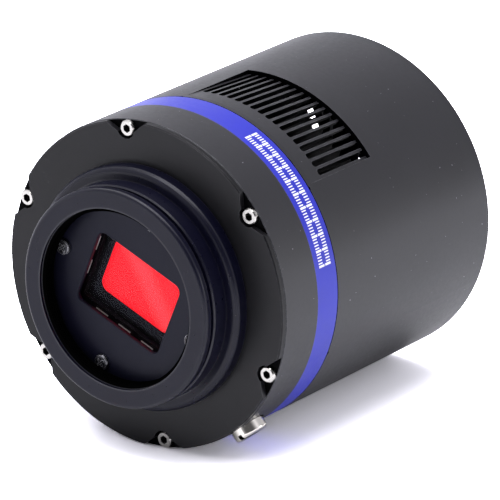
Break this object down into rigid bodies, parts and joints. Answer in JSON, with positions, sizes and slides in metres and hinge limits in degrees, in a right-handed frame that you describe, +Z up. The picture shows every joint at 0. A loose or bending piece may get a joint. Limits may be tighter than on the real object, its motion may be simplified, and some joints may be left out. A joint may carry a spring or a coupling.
{
  "type": "cooled astronomy camera",
  "caption": "Cylindrical cooled camera for a telescope: threaded front adapter over a windowed sensor, vented barrel with a blue band, and a rear fan grille with sockets.",
  "frame": {"origin": "centre of the front face of the telescope adapter ring, on the optical axis", "axes": "+Y runs back along the optical axis towards the fan grille, so the sensor faces -Y; +Z is up with the camera lying on its side, where the long side of the sensor is turned 22.2 degrees clockwise from +X seen from the front; +X is to the right seen from the front"},
  "size_m": [0.09, 0.108, 0.09],
  "materials": {
    "black_aluminium": "black anodised",
    "black_plastic": "moulded",
    "blue_anodised": "satin blue anodised",
    "blue_plastic": "moulded",
    "board_black": "solder mask",
    "board_green": "solder mask",
    "brass_part": "machined",
    "capacitor": "canned",
    "ceramic_black": "fired ceramic",
    "chip_black": "moulded",
    "copper": "machined",
    "epoxy": "cast",
    "flex_amber": "film",
    "front_anodised": "matte black anodised",
    "glass_clear": "coated",
    "gold": "plated",
    "led_green": "diffused",
    "magnet": "sintered",
    "nickel": "polished",
    "pellet": "cast",
    "rubber": "moulded",
    "sensor_red": "glossy",
    "silicon": "polished",
    "stainless": "bright",
    "tube_anodised": "matte charcoal anodised",
    "white_ceramic": "fired ceramic",
    "white_ink": "printed",
    "wire_red": "extruded"
  },
  "bodies": {
    "camera": {"adapter_ring": "front_anodised", "front_plate": "front_anodised", "housing_screws": "stainless", "window_plate": "front_anodised", "window_screws": "stainless", "window_gasket": "rubber", "window_glass": "glass_clear", "sensor_package": "ceramic_black", "bond_pads": "gold", "sensor_die": "silicon", "image_area": "sensor_red", "sensor_mask": "black_plastic", "sensor_cover_glass": "glass_clear", "sensor_socket": "black_plastic", "sensor_pins": "gold", "sensor_board": "board_green", "sensor_board_screws": "stainless", "sensor_chips": "chip_black", "flex_connector": "black_plastic", "front_housing": "tube_anodised", "chamber_seal": "rubber", "cold_finger": "copper", "tec_ceramics": "white_ceramic", "tec_pellets": "pellet", "heat_sink": "black_aluminium", "feedthrough": "epoxy", "flex_cable": "flex_amber", "tec_leads": "wire_red", "blue_band": "blue_anodised", "band_ticks": "white_ink", "rear_tube": "tube_anodised", "rear_plate": "front_anodised", "rear_plate_screws": "stainless", "pillar_screws": "stainless", "fan_screws": "stainless", "board_pillars": "brass_part", "board_screws": "stainless", "io_board": "board_black", "io_chips": "chip_black", "capacitors": "capacitor", "usb_shell": "nickel", "usb_tongue": "blue_plastic", "power_jack": "black_plastic", "power_pin": "nickel", "hub_shells": "nickel", "hub_tongues": "black_plastic", "status_led": "led_green", "fan_frame": "black_plastic", "fan_bearing": "brass_part", "fan_stator": "copper"},
    "plug_carrier": {"plug_seal": "rubber"},
    "plug": {"port_plug": "nickel"},
    "rotor": {"fan_rotor": "black_plastic", "fan_magnet": "magnet", "fan_shaft": "stainless"}
  },
  "joints": [
    {"name": "fan_spin", "type": "hinge", "parent": "camera", "child": "rotor", "pos_m": [0, 0.0985, 0], "axis": [0, 1, 0], "continuous": true},
    {"name": "plug_lift", "type": "slide", "parent": "camera", "child": "plug_carrier", "axis": [0.6401, 0, -0.7683], "range_m": [0, 0.00675]},
    {"name": "plug_turn", "type": "hinge", "parent": "plug_carrier", "child": "plug", "pos_m": [0.02881, 0.0194, -0.03457], "axis": [0.6401, 0, -0.7683], "range_deg": [0, 3240]}
  ],
  "couplings": [
    {"joint": "plug_turn", "follows": "plug_lift", "rad_per_m": 8377.6}
  ]
}
